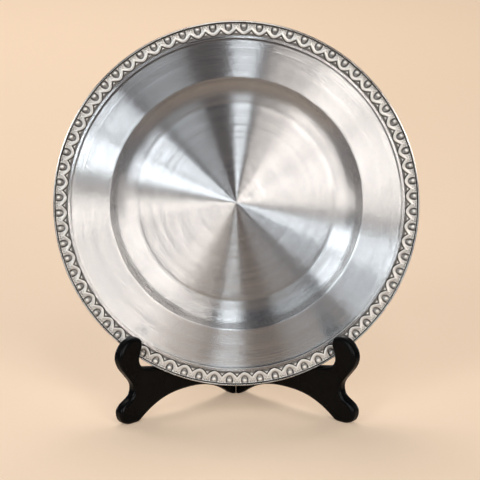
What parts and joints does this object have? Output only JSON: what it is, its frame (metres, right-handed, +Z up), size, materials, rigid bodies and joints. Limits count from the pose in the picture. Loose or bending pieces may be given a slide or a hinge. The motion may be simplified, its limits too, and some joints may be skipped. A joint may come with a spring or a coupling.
{
  "type": "pewter display plate on a folding stand",
  "caption": "Round spun pewter plate with a cast ornamental border, held upright and leaning back on a black lacquered folding plate stand made of hinged panels.",
  "frame": {"origin": "on the surface that the stand's feet rest on, under the middle of the whole display", "axes": "+Z up, the plate faces -Y and leans back towards +Y, +X to the right as seen from the front"},
  "size_m": [0.25, 0.0758, 0.2699],
  "materials": {
    "pewter": "bright pewter, brushed in circles",
    "oxidised_pewter": "cast pewter, bright on the relief and dark in the hollows",
    "black_lacquer": "gloss black lacquer on wood, edges rounded over",
    "brass": "plain satin brass"
  },
  "bodies": {
    "right_half": {"right_panel": "black_lacquer", "upper_hinge_right_leaf": "brass", "lower_hinge_right_leaf": "brass", "upper_hinge_pin": "brass", "lower_hinge_pin": "brass", "upper_hinge_right_screw_1": "brass", "upper_hinge_right_screw_2": "brass", "lower_hinge_right_screw_1": "brass", "lower_hinge_right_screw_2": "brass"},
    "left_half": {"left_panel": "black_lacquer", "upper_hinge_left_leaf": "brass", "lower_hinge_left_leaf": "brass", "upper_hinge_left_screw_1": "brass", "upper_hinge_left_screw_2": "brass", "lower_hinge_left_screw_1": "brass", "lower_hinge_left_screw_2": "brass"},
    "plate": {"plate_dish": "pewter", "border_ring": "oxidised_pewter"}
  },
  "joints": [
    {"name": "plate_lift", "type": "slide", "parent": "right_half", "child": "plate", "axis": [0, 0, 1], "range_m": [0, 0.16]},
    {"name": "stand_fold", "type": "hinge", "parent": "right_half", "child": "left_half", "pos_m": [0, 0.03184, 0], "axis": [0, 0, 1], "range_deg": [0, 96]}
  ],
  "couplings": [
    {"joint": "stand_fold", "follows": "plate_lift", "rad_per_m": 10.472}
  ]
}
